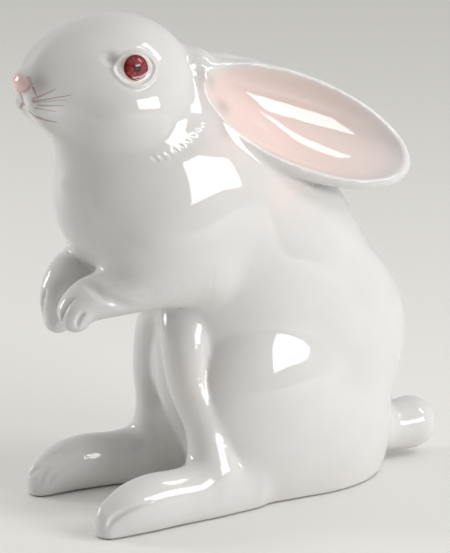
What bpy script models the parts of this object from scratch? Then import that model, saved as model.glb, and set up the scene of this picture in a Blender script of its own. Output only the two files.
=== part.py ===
"""A glazed porcelain rabbit that sits up on its haunches, cast in one piece.

The figure is laid out in units of a 250th of its height: X across, with the rabbit's left
side at +X, Y from the nose back to the tail, and Z up from the surface that it stands on.
Each lump of the model is a ball or a roll. Rough lumps are joined and remeshed, then every
point is settled on the surface where the lumps blend into each other, as a modeller's thumb
would blend clay. Grooves for the toes, eyelids and fur are pressed in last.
"""

import math

import bmesh
import bpy
import numpy as np
from mathutils import Matrix, Vector

HEIGHT = 0.250  # from the base to the top of the head
TUFTS = 9  # tufts of fur along the edge of each cheek
TRIANGLES = 9400  # faces left on the finished figure
GLAZE_COLOUR = (0.86, 0.85, 0.83, 1.0)
GLAZE_ROUGHNESS = 0.08

UNITS_HIGH = 250.0
UNIT = HEIGHT / UNITS_HIGH
COARSE_GRAIN = 2.6  # voxel of the first, rough join
FINE_GRAIN = 1.25  # voxel of the mesh that is thinned out
WIDEST_JOIN = 22.0  # no join between two lumps reaches further than this
PROBE = 0.3  # step for measuring the slope of the surface


def merge(one, other, soft):
    """Two distances joined, with the seam between them filled over a width of soft."""
    overlap = np.maximum(soft - np.abs(one - other), 0.0) / soft
    return np.minimum(one, other) - overlap**3 * soft / 6.0


def carve(body, tool, soft):
    """The body's distance with the tool scooped out of it, its edge rounded by soft."""
    return -merge(-body, tool, soft)


def mirrored(points):
    """The same points on the rabbit's other side."""
    return points * np.array((-1.0, 1.0, 1.0))


def through(stations, steps):
    """A smooth run through the stations, each a place and a thickness."""
    rows = np.array(stations, dtype=float)
    rows = np.vstack((2 * rows[0] - rows[1], rows, 2 * rows[-1] - rows[-2]))
    run = []
    for index in range(1, len(rows) - 2):
        before, start, end, after = rows[index - 1 : index + 3]
        for step in range(steps):
            t = step / steps
            run.append(
                start
                + 0.5 * t * (end - before)
                + t**2 * (before - 2.5 * start + 2 * end - 0.5 * after)
                + 0.5 * t**3 * (3 * (start - end) + after - before)
            )
    run.append(rows[-2])
    return np.array(run)


class Ball:
    """An ellipsoid of clay, leaning by some degrees about the X axis."""

    def __init__(self, centre, radii, lean=0.0):
        self.centre = np.array(centre)
        self.radii = np.array(radii)
        cosine, sine = math.cos(math.radians(lean)), math.sin(math.radians(lean))
        self.turn = np.array(((1.0, 0.0, 0.0), (0.0, cosine, -sine), (0.0, sine, cosine)))

    def distance(self, points):
        local = (points - self.centre) @ self.turn
        near = np.sqrt(((local / self.radii) ** 2).sum(axis=1))
        steep = np.sqrt(((local / self.radii**2) ** 2).sum(axis=1))
        return near * (near - 1.0) / np.maximum(steep, 1e-9)

    def shape_rough(self, bm, side):
        place = Matrix.Translation(Vector(self.centre * (side, 1.0, 1.0)))
        size = Matrix.Diagonal(Vector((*self.radii, 1.0)))
        bmesh.ops.create_icosphere(
            bm, subdivisions=4, radius=1.0, matrix=place @ Matrix(self.turn).to_4x4() @ size
        )


class Roll:
    """A tapered roll of clay through stations, each a place and a radius."""

    def __init__(self, stations, squash=(1.0, 1.0, 1.0)):
        self.run = through(stations, 10)
        self.squash = np.array(squash)

    def distance(self, points):
        thick = self.run[:, 3].max() * self.squash.max()
        low = self.run[:, :3].min(axis=0) - thick
        high = self.run[:, :3].max(axis=0) + thick
        nearest = np.linalg.norm(np.maximum(np.maximum(low - points, points - high), 0.0), axis=1)
        close = nearest < WIDEST_JOIN
        nearest[close] = self.distance_close(points[close])
        return nearest

    def distance_close(self, points):
        local = points / self.squash
        places = self.run[:, :3] / self.squash
        nearest = np.full(len(points), np.inf)
        for index in range(len(self.run) - 1):
            along = places[index + 1] - places[index]
            t = np.clip((local - places[index]) @ along / (along @ along), 0.0, 1.0)
            radius = self.run[index, 3] + t * (self.run[index + 1, 3] - self.run[index, 3])
            gap = np.linalg.norm(local - places[index] - t[:, None] * along, axis=1)
            nearest = np.minimum(nearest, gap - radius)
        return nearest * self.squash.min()

    def shape_rough(self, bm, side):
        for x, y, z, radius in self.run[::3]:
            place = Matrix.Translation(Vector((side * x, y, z)))
            size = Matrix.Diagonal(Vector((*(self.squash * radius), 1.0)))
            bmesh.ops.create_icosphere(bm, subdivisions=3, radius=1.0, matrix=place @ size)


class Ear:
    """A long ear laid back: a flat ellipsoid and a roll along its top, scooped to a thin rim."""

    ROOT = np.array((16.0, 62.0, 215.0))
    TIP = np.array((33.0, 178.0, 166.0))
    FACING = np.array((0.90, 0.0, 0.43))
    HALF_WIDTH = 27.0
    HALF_DEPTH = 13.0
    RIM = 2.5
    SCOOP_DEPTH = 17.0
    SCOOP_RISE = 11.0
    RIM_SOFT = 3.0
    BACK = (
        (6, 54, 221, 10),
        (10, 65.6, 223.5, 9),
        (12, 72.3, 220, 8.3),
        (14, 82.4, 217.5, 6.8),
        (15.5, 96, 217.5, 5),
    )

    def __init__(self):
        self.back = Roll(self.BACK)
        along = self.TIP - self.ROOT
        self.half_length = np.linalg.norm(along) / 2 + 2.0
        along = along / np.linalg.norm(along)
        facing = self.FACING - along * (self.FACING @ along)
        facing = facing / np.linalg.norm(facing)
        self.axes = np.stack((along, np.cross(facing, along), facing), axis=1)
        self.centre = (self.ROOT + self.TIP) / 2
        self.blank = Ball((0.0, 0.0, 0.0), (self.half_length, self.HALF_WIDTH, self.HALF_DEPTH))
        self.scoop = Ball(
            (1.0, 0.0, self.SCOOP_RISE),
            (self.half_length - self.RIM - 1.0, self.HALF_WIDTH - self.RIM, self.SCOOP_DEPTH),
        )

    def distance(self, points):
        local = (points - self.centre) @ self.axes
        body = merge(self.blank.distance(local), self.back.distance(points), 6.0)
        return carve(body, self.scoop.distance(local), self.RIM_SOFT)

    def shape_rough(self, bm, side):
        self.back.shape_rough(bm, side)
        made = bmesh.ops.create_icosphere(bm, subdivisions=5, radius=1.0)["verts"]
        for vertex in made:
            local = np.array(vertex.co) * self.blank.radii
            across = ((local - self.scoop.centre) / self.scoop.radii)[:2]
            open_here = 1.0 - across @ across
            if local[2] > 0.0 and open_here > 0.0:
                floor = self.SCOOP_RISE - self.SCOOP_DEPTH * math.sqrt(open_here)
                local[2] = min(local[2], floor)
            place = self.centre + self.axes @ local
            vertex.co = Vector(place * (side, 1.0, 1.0))
        if side < 0:
            faces = {face for vertex in made for face in vertex.link_faces}
            bmesh.ops.reverse_faces(bm, faces=list(faces))


class Pair:
    """A form and its mirror image, blended where they meet at the middle."""

    def __init__(self, form, seam):
        self.form = form
        self.seam = seam

    def distance(self, points):
        return merge(self.form.distance(points), self.form.distance(mirrored(points)), self.seam)

    def shape_rough(self, bm, side):
        self.form.shape_rough(bm, side)
        self.form.shape_rough(bm, -side)


# Each form with the softness of its join to the forms before it.
HEAD = (
    (Ball((0, 26.8, 217), (29.5, 41.5, 33.5)), 1.0),  # skull
    (Pair(Ball((5, 9.5, 217.5), (14.5, 31, 25.5)), 8.0), 12.0),  # bridge of the nose
    (Pair(Ball((15, 29, 205), (18.5, 27, 18.5)), 12.0), 12.0),  # cheeks
    (Pair(Ball((7.5, -9, 211.5), (8.7, 12.5, 8.7)), 1.5), 4.0),  # whisker pads
    (Ball((0, -4.5, 205.5), (8.5, 10, 6.5)), 3.0),  # chin
    (Ball((0, -16.0, 221.0), (8.6, 8.6, 6.4)), 5.0),  # nose
)
EYE = (28.6, 25.2, 227.8)  # where the eyeball stands out furthest
EYE_SLOPE = -0.33  # the face leans in towards the top of the head
EYEBALL = Pair(Ball((20.6, 25.2, 227.8), (9.4, 9.8, 8.2)), 1.0)
TRUNK = (
    (Ball((0, 129, 24), (43, 58, 51)), 1.0),  # seat
    (Ball((0, 124, 72), (40, 73, 66)), 16.0),  # rump
    (Ball((0, 108.5, 116.5), (41, 58.3, 74), 32.0), 16.0),  # back
    (Ball((0, 62, 160), (41, 65, 47)), 20.0),  # chest
    (Ball((0, 48, 190), (31, 50, 34)), 20.0),  # neck
    (Pair(Ball((17, 54, 138), (25, 40, 31)), 12.0), 16.0),  # shoulders
)
HAUNCH = Pair(Ball((23.5, 105, 47), (24.5, 47, 56)), 10.0)
SHANK = ((5, 68, 102, 15), (13.5, 61.5, 88, 13), (19.5, 60.5, 66, 11.5), (27, 65, 43, 10.5), (31, 67, 22, 13))
LEFT_SHANK_AHEAD = 1.5  # the left shank stands this much further forward
FOOT = Pair(
    Roll(
        (
            (37, 4, 7, 8.5),
            (37.3, 14, 11, 10.5),
            (37, 27, 12.5, 11.5),
            (35.5, 44, 12, 11.5),
            (33, 64, 12, 13),
            (30, 84, 12, 14),
        ),
        (0.95, 1.0, 1.32),
    ),
    2.0,
)
LEFT_FORELEG = Roll(
    (
        (21, 62, 126, 20),
        (20, 38, 123.5, 17),
        (16.5, 18, 116.8, 12.5),
        (13.3, 6.5, 113.5, 11),
        (12.5, 0, 109, 9.5),
        (12.5, -1, 106.5, 8.5),
    )
)
RIGHT_FORELEG = Roll(
    (
        (-21, 62, 126, 20),
        (-20, 38, 124, 18.5),
        (-16, 18, 122.5, 11.8),
        (-13, 8, 120.5, 10),
        (-12, 2, 111, 9),
        (-12, 2, 99, 7.5),
    )
)
TAIL = Roll(((0, 176, 20, 16), (0, 190, 16.5, 13), (0, 205.5, 16.5, 14.2)))


def shank(side, ahead):
    """One shank, from under the belly down to its heel."""
    return Roll([(side * x, y - ahead, z, radius) for x, y, z, radius in SHANK])


FIGURE = TRUNK + (
    (HAUNCH, 6.0),
    (shank(1, LEFT_SHANK_AHEAD), 4.0),
    (shank(-1, 0.0), 4.0),
    (FOOT, 8.0),
    (TAIL, 7.0),
)
LIMBS_AND_EARS = (
    (Pair(Ear(), 3.0), 6.0),
    (LEFT_FORELEG, 8.0),
    (RIGHT_FORELEG, 8.0),
    (EYEBALL, 1.5),
)


class Crease:
    """A line pressed into the surface, or raised from it where its depth is below zero."""

    def __init__(self, stations, width, depth, both_sides=True):
        self.run = through(stations, 6)
        self.width = width
        self.depth = depth
        self.both_sides = both_sides

    def press(self, points):
        if self.both_sides:
            points = np.column_stack((np.abs(points[:, 0]), points[:, 1:]))
        pressed = np.zeros(len(points))
        reach = 3.0 * self.width
        inside = (points > self.run.min(axis=0) - reach) & (points < self.run.max(axis=0) + reach)
        near = inside.all(axis=1)
        here = points[near]
        gap = np.full(len(here), np.inf)
        for start, end in zip(self.run[:-1], self.run[1:]):
            along = end - start
            t = np.clip((here - start) @ along / (along @ along), 0.0, 1.0)
            gap = np.minimum(gap, ((here - start - t[:, None] * along) ** 2).sum(axis=1))
        pressed[near] = self.depth * np.exp(-gap / self.width**2)
        return pressed


def eye_ring(half_length, half_height, start, end, width, depth):
    """Part of an eyelid: an arc round the eye between two angles, in degrees."""
    stations = []
    for index in range(13):
        angle = math.radians(start + (end - start) * index / 12)
        along = half_length * math.cos(angle)
        up = half_height * math.sin(angle) * (1.0 - 0.25 * math.cos(angle) ** 2)
        across = EYE_SLOPE * up - 0.012 * along**2
        stations.append((EYE[0] + across, EYE[1] + along, EYE[2] + up))
    return Crease(stations, width, depth)


def tufts():
    """Tufts of cheek fur that overlap the shoulder, each a short groove."""
    creases = []
    for index in range(TUFTS):
        t = index / (TUFTS - 1)
        y = 32.0 + 28.0 * t
        z = 184.0 + 13.5 * t**1.5
        x = 34.9 - 0.012 * (y - 44.0) ** 2
        slant = 1.6 - 1.4 * t
        creases.append(Crease(((x, y - 2.0, z + slant), (x + 0.4, y + 2.6, z - slant)), 0.9, 0.6))
    return creases


MOUTH = ((0, -21.5, 209.5), (5.6, -20.5, 207.2), (9, -17.9, 205.1), (13.9, -9.9, 202.7))
NOSTRIL = ((7.8, -20.7, 220), (10, -19.7, 218.8), (11.1, -19.3, 217), (12.3, -18.8, 215.2))
RUFF = ((33.5, 33.8, 183.3), (35, 43.9, 185.9), (33.6, 56.9, 192.7), (31.5, 61.5, 197.3))
HAUNCH_FOLD = ((25.5, 64.5, 92), (27.8, 63.2, 81), (29.6, 62.6, 72.8), (31.2, 62.2, 66.1), (36, 63.5, 52))
FOREARM_FOLD = ((17.6, 3, 123.2), (21.9, 5, 121.1), (25.4, 8.1, 117.7), (29.4, 17.3, 112.9))
TOE_GAPS = (
    ((38, -4, 9), (33.2, -0.5, 15), (33, 7, 20), (32.8, 21, 25.3)),
    ((31, -1, 5), (30.7, 1.2, 12.6), (31.2, 10, 20.6), (28.6, 28.9, 22.5)),
    ((29.6, 1.6, 3.7), (28.6, 6, 12), (27.9, 13, 15.7), (27.3, 22.4, 18.1)),
    ((42.3, -1, 5), (43.4, 1.5, 10.5), (45.1, 9.5, 15.2), (46.7, 25.8, 17.7)),
)
FINGER_GAPS = (
    ((19, -1.6, 117.6), (16.7, -5.9, 114.2), (15.7, -8.4, 109.3), (12.8, -7.9, 101.5)),
    ((21.9, 0.3, 111), (20.6, -3.2, 107.2), (18.1, -3.6, 101.2)),
    ((10, -8.5, 113), (9.3, -9.5, 107), (9.5, -8, 100)),
    ((-9.1, -4.2, 117.3), (-10.4, -6.5, 110.2), (-12.8, -6.2, 102.5), (-13.1, -5.3, 97)),
    ((-15, -5, 117), (-17, -5, 109), (-17.5, -3, 100), (-16, -1, 93)),
    ((-4.5, 0, 113), (-4.2, -2, 106), (-7, -4, 97)),
)

CREASES = [
    eye_ring(9.6, 6.7, 0, 360, 0.8, 0.8),
    eye_ring(11.2, 8.2, 0, 360, 1.1, -0.9),
    eye_ring(12.8, 10.4, -160, -20, 0.9, 0.5),
    eye_ring(12.4, 10.4, 20, 160, 0.9, 0.6),
    Crease(((23.5, 13.5, 236.5), (25.7, 13.0, 233.0), (26.7, 11.0, 229.0)), 3.0, 1.6),
    Crease(((0, -22.5, 216.5), (0, -22.2, 213), (0, -21.5, 209.5)), 0.9, 1.0),
    Crease(MOUTH, 0.8, 0.9),
    Crease(NOSTRIL, 0.9, 1.0),
    Crease(HAUNCH_FOLD, 1.6, 1.0),
    Crease(FOREARM_FOLD, 2.2, 2.4, False),
    Crease(RUFF, 3.0, 0.8),
    *(Crease(gap, 1.2, 1.5) for gap in TOE_GAPS),
    *(Crease(gap, 1.1, 1.7, False) for gap in FINGER_GAPS),
    *tufts(),
]


def blend(forms, points):
    """The distance from each point to forms joined in order."""
    surface = None
    for form, soft in forms:
        here = form.distance(points)
        surface = here if surface is None else merge(surface, here, soft)
    return surface


def surface_distance(points):
    """The distance from each point, in units, to the figure's surface."""
    surface = merge(blend(FIGURE, points), blend(HEAD, points), 10.0)
    for form, soft in LIMBS_AND_EARS:
        surface = merge(surface, form.distance(points), soft)
    for crease in CREASES:
        surface = surface + crease.press(points)
    return surface


def slope(points):
    """The distance at each point and its slope, from four probes around it."""
    corners = np.array(((1, -1, -1), (-1, -1, 1), (-1, 1, -1), (1, 1, 1))) * PROBE
    readings = [surface_distance(points + corner) for corner in corners]
    gradient = sum(np.outer(reading, corner) for reading, corner in zip(readings, corners))
    return sum(readings) / 4, gradient / (4 * PROBE**2)


def settle(points, rounds):
    """The points moved down the slope until they lie on the surface."""
    for _ in range(rounds):
        height, gradient = slope(points)
        steep = np.maximum((gradient**2).sum(axis=1), 0.2)
        step = gradient * (height / steep)[:, None]
        length = np.maximum(np.linalg.norm(step, axis=1), 1e-9)
        points = points - step * np.minimum(1.0, 3.0 / length)[:, None]
    return points


def points_of(mesh):
    flat = np.empty(len(mesh.vertices) * 3)
    mesh.vertices.foreach_get("co", flat)
    return flat.reshape(-1, 3)


def place_points(mesh, points):
    mesh.vertices.foreach_set("co", points.astype(np.float32).ravel())
    mesh.update()


def evaluated(mesh, kind, **settings):
    """The mesh after one modifier, as a new mesh."""
    helper = bpy.data.objects.new("helper", mesh)
    bpy.context.scene.collection.objects.link(helper)
    modifier = helper.modifiers.new(kind.title(), kind)
    for name, value in settings.items():
        setattr(modifier, name, value)
    graph = bpy.context.evaluated_depsgraph_get()
    result = bpy.data.meshes.new_from_object(helper.evaluated_get(graph))
    bpy.data.objects.remove(helper)
    return result


def rough_figure():
    """Every lump as overlapping balls in one mesh, in units."""
    bm = bmesh.new()
    for form, _ in FIGURE + HEAD + LIMBS_AND_EARS:
        form.shape_rough(bm, 1.0)
    mesh = bpy.data.meshes.new("rough")
    bm.to_mesh(mesh)
    bm.free()
    return mesh


def cut_flat(mesh):
    """The figure cut flat at its base and closed there, with its origin under its middle."""
    bm = bmesh.new()
    bm.from_mesh(mesh)
    parts = bm.verts[:] + bm.edges[:] + bm.faces[:]
    bmesh.ops.bisect_plane(
        bm, geom=parts, dist=1e-4, plane_co=(0, 0, 0), plane_no=(0, 0, -1), clear_outer=True
    )
    rim = [edge for edge in bm.edges if edge.is_boundary]
    bmesh.ops.holes_fill(bm, edges=rim)
    bmesh.ops.recalc_face_normals(bm, faces=bm.faces[:])
    places = np.array([vertex.co for vertex in bm.verts])
    middle = (places.min(axis=0) + places.max(axis=0)) / 2
    bmesh.ops.translate(bm, verts=bm.verts[:], vec=(-middle[0], -middle[1], 0.0))
    bmesh.ops.scale(bm, verts=bm.verts[:], vec=(UNIT, UNIT, UNIT))
    bm.to_mesh(mesh)
    bm.free()


def glaze():
    """White porcelain under a clear gloss glaze."""
    material = bpy.data.materials.new("glazed_porcelain")
    material.use_nodes = True
    shader = material.node_tree.nodes["Principled BSDF"]
    shader.inputs["Base Color"].default_value = GLAZE_COLOUR
    shader.inputs["Roughness"].default_value = GLAZE_ROUGHNESS
    shader.inputs["Metallic"].default_value = 0.0
    return material


def build_rabbit():
    """The whole figure as one object."""
    mesh = evaluated(rough_figure(), "REMESH", mode="VOXEL", voxel_size=COARSE_GRAIN)
    place_points(mesh, settle(points_of(mesh), 8))
    mesh = evaluated(mesh, "REMESH", mode="VOXEL", voxel_size=FINE_GRAIN)
    place_points(mesh, settle(points_of(mesh), 4))
    corners = sum(len(face.vertices) - 2 for face in mesh.polygons)
    mesh = evaluated(mesh, "DECIMATE", decimate_type="COLLAPSE", ratio=TRIANGLES / corners)
    place_points(mesh, settle(points_of(mesh), 1))
    cut_flat(mesh)
    mesh.shade_smooth()
    mesh.materials.append(glaze())
    rabbit = bpy.data.objects.new("rabbit", mesh)
    bpy.context.scene.collection.objects.link(rabbit)
    return rabbit


def main():
    for thing in list(bpy.data.objects):
        bpy.data.objects.remove(thing)
    build_rabbit()


main()
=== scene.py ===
"""A glazed porcelain rabbit that sits up on its haunches, modelled and painted by hand.

Lengths here are in millimetres until a mesh is scaled to metres at the end. X runs across with
the rabbit's left side at +X, Y runs from the nose back to the tail, and Z up from the table.
Each lump of the model is a ball or a roll. Rough lumps are joined and remeshed, then every point
is settled on the surface where the lumps blend into each other, as a thumb would blend clay.
Toes, eyelids, lips and fur are pressed in as grooves, and the paint, with shade painted into the
hollows, lies under one clear glaze.
"""

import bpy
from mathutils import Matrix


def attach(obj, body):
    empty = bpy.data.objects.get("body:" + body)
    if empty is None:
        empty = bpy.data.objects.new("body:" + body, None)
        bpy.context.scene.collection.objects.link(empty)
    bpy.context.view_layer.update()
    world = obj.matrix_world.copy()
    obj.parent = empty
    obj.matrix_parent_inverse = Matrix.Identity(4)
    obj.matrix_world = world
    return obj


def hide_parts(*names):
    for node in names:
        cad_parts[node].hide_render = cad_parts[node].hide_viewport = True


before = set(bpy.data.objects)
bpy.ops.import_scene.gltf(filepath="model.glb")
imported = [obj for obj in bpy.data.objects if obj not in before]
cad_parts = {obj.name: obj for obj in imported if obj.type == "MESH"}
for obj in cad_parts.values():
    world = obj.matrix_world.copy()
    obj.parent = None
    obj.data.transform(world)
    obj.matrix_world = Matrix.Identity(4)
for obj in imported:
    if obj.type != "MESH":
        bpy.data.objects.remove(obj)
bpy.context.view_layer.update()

import logging
import math
from collections.abc import Iterable, Sequence
from dataclasses import dataclass
from enum import Enum
from typing import Protocol

import bmesh
import bpy
import numpy as np
from mathutils import Matrix, Vector

LOG = logging.getLogger("rabbit")
MM = 0.001
MIDDLE_Y = 97.5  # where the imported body's middle lies along the figure's own Y
Point = tuple[float, float, float]
Station = tuple[float, float, float, float]  # a place and a radius


def merge(one: np.ndarray, other: np.ndarray, soft: float) -> np.ndarray:
    """Joins two distances and fills the seam between them.

    Args:
        one: Distances to the first form.
        other: Distances to the second form.
        soft: Width over which the seam is filled.

    Returns:
        Distances to the two forms as one.
    """
    overlap = np.maximum(soft - np.abs(one - other), 0.0) / soft
    return np.minimum(one, other) - overlap**3 * soft / 6.0


def carve(body: np.ndarray, tool: np.ndarray, soft: float) -> np.ndarray:
    """Scoops a tool out of a body.

    Args:
        body: Distances to the body.
        tool: Distances to the tool.
        soft: Width over which the edge is rounded.

    Returns:
        Distances to what is left.
    """
    return -merge(-body, tool, soft)


def mirrored(points: np.ndarray) -> np.ndarray:
    """The same points on the rabbit's other side."""
    return points * np.array((-1.0, 1.0, 1.0))


def left_side(points: np.ndarray) -> np.ndarray:
    """The same points, all on the rabbit's left side."""
    return np.column_stack((np.abs(points[:, 0]), points[:, 1:]))


def through(stations: Sequence[Sequence[float]], steps: int) -> np.ndarray:
    """Draws a smooth run through stations.

    Args:
        stations: Places, each with any thickness after it.
        steps: Points from each station to the next.

    Returns:
        One row for each point of the run.
    """
    rows = np.array(stations, dtype=float)
    rows = np.vstack((2 * rows[0] - rows[1], rows, 2 * rows[-1] - rows[-2]))
    run = []
    for index in range(1, len(rows) - 2):
        before, start, end, after = rows[index - 1 : index + 3]
        for step in range(steps):
            t = step / steps
            run.append(
                start
                + 0.5 * t * (end - before)
                + t**2 * (before - 2.5 * start + 2 * end - 0.5 * after)
                + 0.5 * t**3 * (3 * (start - end) + after - before)
            )
    run.append(rows[-2])
    return np.array(run)


def smooth_step(values: np.ndarray, start: float, end: float) -> np.ndarray:
    """Eases from 0 at start to 1 at end."""
    t = np.clip((values - start) / (end - start), 0.0, 1.0)
    return t * t * (3.0 - 2.0 * t)


class Form(Protocol):
    """A lump of clay."""

    def distance(self, points: np.ndarray) -> np.ndarray:
        """The distance from each point to the lump's surface, less than zero inside it."""

    def shape_rough(self, bm: bmesh.types.BMesh, side: float) -> None:
        """Adds the lump's rough mesh, on the other side of the rabbit where side is -1."""


@dataclass(frozen=True)
class Ball:
    """An ellipsoid of clay, which leans by some degrees about the X axis."""

    centre: Point
    radii: Point
    lean: float = 0.0

    def turn(self) -> np.ndarray:
        """The rotation that the lean makes."""
        cosine, sine = math.cos(math.radians(self.lean)), math.sin(math.radians(self.lean))
        return np.array(((1.0, 0.0, 0.0), (0.0, cosine, -sine), (0.0, sine, cosine)))

    def distance(self, points: np.ndarray) -> np.ndarray:
        """The distance from each point, close to true near the surface."""
        radii = np.array(self.radii)
        local = (points - self.centre) @ self.turn()
        near = np.sqrt(((local / radii) ** 2).sum(axis=1))
        steep = np.sqrt(((local / radii**2) ** 2).sum(axis=1))
        return near * (near - 1.0) / np.maximum(steep, 1e-9)

    def shape_rough(self, bm: bmesh.types.BMesh, side: float) -> None:
        """Adds a stretched sphere."""
        place = Matrix.Translation(Vector(np.array(self.centre) * (side, 1.0, 1.0)))
        size = Matrix.Diagonal(Vector((*self.radii, 1.0)))
        bmesh.ops.create_icosphere(
            bm, subdivisions=4, radius=1.0, matrix=place @ Matrix(self.turn()).to_4x4() @ size
        )


@dataclass(frozen=True)
class Roll:
    """A tapered roll of clay through stations, each a place and a radius."""

    stations: tuple[Station, ...]
    squash: Point = (1.0, 1.0, 1.0)
    widest_join: float = 22.0

    STEPS = 10
    ROUGH_EVERY = 3  # steps from one rough sphere to the next

    def run(self) -> np.ndarray:
        """The roll's middle line, with its radius at each point."""
        return through(self.stations, self.STEPS)

    def distance(self, points: np.ndarray) -> np.ndarray:
        """The distance from each point, rough beyond the reach of the widest join."""
        run = self.run()
        thick = run[:, 3].max() * max(self.squash)
        low = run[:, :3].min(axis=0) - thick
        high = run[:, :3].max(axis=0) + thick
        nearest = np.linalg.norm(np.maximum(np.maximum(low - points, points - high), 0.0), axis=1)
        close = nearest < self.widest_join
        local = points[close] / self.squash
        places = run[:, :3] / self.squash
        gap = np.full(len(local), np.inf)
        for index in range(len(run) - 1):
            along = places[index + 1] - places[index]
            t = np.clip((local - places[index]) @ along / (along @ along), 0.0, 1.0)
            radius = run[index, 3] + t * (run[index + 1, 3] - run[index, 3])
            away = np.linalg.norm(local - places[index] - t[:, None] * along, axis=1)
            gap = np.minimum(gap, away - radius)
        nearest[close] = gap * min(self.squash)
        return nearest

    def shape_rough(self, bm: bmesh.types.BMesh, side: float) -> None:
        """Adds a chain of spheres."""
        for x, y, z, radius in self.run()[:: self.ROUGH_EVERY]:
            place = Matrix.Translation(Vector((side * x, y, z)))
            size = Matrix.Diagonal(Vector((*(np.array(self.squash) * radius), 1.0)))
            bmesh.ops.create_icosphere(bm, subdivisions=3, radius=1.0, matrix=place @ size)


@dataclass(frozen=True)
class Pair:
    """A form and its mirror image, blended where they meet at the middle."""

    form: Form
    seam: float

    def distance(self, points: np.ndarray) -> np.ndarray:
        """The distance from each point to the nearer of the two."""
        return merge(self.form.distance(points), self.form.distance(mirrored(points)), self.seam)

    def shape_rough(self, bm: bmesh.types.BMesh, side: float) -> None:
        """Adds the form on both sides."""
        self.form.shape_rough(bm, side)
        self.form.shape_rough(bm, -side)


@dataclass(frozen=True)
class Groove:
    """A line pressed into the surface, or raised from it where its depth is below zero."""

    stations: tuple[Point, ...]
    width: float
    depth: float
    both_sides: bool = True
    fades: bool = True

    STEPS = 6
    REACH = 3.0  # widths from its line, past which it isn't felt
    FULL_FROM, FULL_TO = 0.35, 0.6  # the part of its length that has its full depth

    def press(self, points: np.ndarray) -> np.ndarray:
        """How far the surface goes in at each point."""
        run = through(self.stations, self.STEPS)
        if self.both_sides:
            points = left_side(points)
        pressed = np.zeros(len(points))
        reach = self.REACH * self.width
        inside = (points > run.min(axis=0) - reach) & (points < run.max(axis=0) + reach)
        near = inside.all(axis=1)
        here = points[near]
        gap = np.full(len(here), np.inf)
        place = np.zeros(len(here))
        for index, (start, end) in enumerate(zip(run[:-1], run[1:])):
            along = end - start
            t = np.clip((here - start) @ along / (along @ along), 0.0, 1.0)
            away = ((here - start - t[:, None] * along) ** 2).sum(axis=1)
            place = np.where(away < gap, (index + t) / (len(run) - 1), place)
            gap = np.minimum(gap, away)
        depth = np.full(len(here), self.depth)
        if self.fades:
            depth *= smooth_step(place, 0.0, self.FULL_FROM)
            depth *= 1.0 - smooth_step(place, self.FULL_TO, 1.0)
        pressed[near] = depth * np.exp(-gap / self.width**2)
        return pressed


Joined = tuple[Form, float]  # a form and the softness of its join to the forms before it


@dataclass(frozen=True)
class Trunk:
    """Seat, rump, back, chest and shoulders."""

    seat: Ball = Ball((0, 129, 24), (43, 58, 51))
    rump: Ball = Ball((0, 124, 72), (40, 73, 66))
    back: Ball = Ball((0, 108.5, 116.5), (41, 58.3, 74), 32.0)
    chest: Ball = Ball((0, 62, 160), (41, 65, 47))
    neck: Ball = Ball((0, 48, 190), (31, 50, 34))
    shoulder: Ball = Ball((17, 54, 138), (25, 40, 31))

    def forms(self) -> list[Joined]:
        """The lumps from the seat up."""
        return [
            (self.seat, 1.0),
            (self.rump, 16.0),
            (self.back, 16.0),
            (self.chest, 20.0),
            (self.neck, 20.0),
            (Pair(self.shoulder, 12.0), 16.0),
        ]


@dataclass(frozen=True)
class HindLegs:
    """Haunches, shanks and long feet."""

    haunch: Ball = Ball((23.5, 105, 47), (24.5, 47, 56))
    shank: tuple[Station, ...] = (
        (5, 68, 102, 15),
        (13.5, 61.5, 88, 13),
        (19.5, 60.5, 66, 11.5),
        (27, 65, 43, 10.5),
        (31, 67, 22, 13),
    )
    left_shank_ahead: float = 1.5
    foot: tuple[Station, ...] = (
        (37, 4, 7, 8.5),
        (37.3, 14, 11, 10.5),
        (37, 27, 12.5, 11.5),
        (35.5, 44, 12, 11.5),
        (33, 64, 12, 13),
        (30, 84, 12, 14),
    )
    foot_squash: Point = (0.95, 1.0, 1.32)
    toe_width: float = 1.2
    toe_depth: float = 1.5
    fold_width: float = 1.6
    fold_depth: float = 1.0

    TOE_GAPS = (
        ((38, -4, 9), (33.2, -0.5, 15), (33, 7, 20), (32.8, 21, 25.3)),
        ((31, -1, 5), (30.7, 1.2, 12.6), (31.2, 10, 20.6), (28.6, 28.9, 22.5)),
        ((29.6, 1.6, 3.7), (28.6, 6, 12), (27.9, 13, 15.7), (27.3, 22.4, 18.1)),
        ((42.3, -1, 5), (43.4, 1.5, 10.5), (45.1, 9.5, 15.2), (46.7, 25.8, 17.7)),
    )
    HAUNCH_FOLD = (
        (25.5, 64.5, 92),
        (27.8, 63.2, 81),
        (29.6, 62.6, 72.8),
        (31.2, 62.2, 66.1),
        (36, 63.5, 52),
    )

    def one_shank(self, side: int, ahead: float) -> Roll:
        """One shank, from under the belly down to its heel."""
        return Roll(tuple((side * x, y - ahead, z, radius) for x, y, z, radius in self.shank))

    def forms(self) -> list[Joined]:
        """The lumps of both hind legs."""
        return [
            (Pair(self.haunch, 10.0), 6.0),
            (self.one_shank(1, self.left_shank_ahead), 4.0),
            (self.one_shank(-1, 0.0), 4.0),
            (Pair(Roll(self.foot, self.foot_squash), 2.0), 8.0),
        ]

    def grooves(self) -> list[Groove]:
        """The gaps between the toes, and the fold in front of the haunch."""
        return [
            *[Groove(gap, self.toe_width, self.toe_depth) for gap in self.TOE_GAPS],
            Groove(self.HAUNCH_FOLD, self.fold_width, self.fold_depth),
        ]


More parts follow.
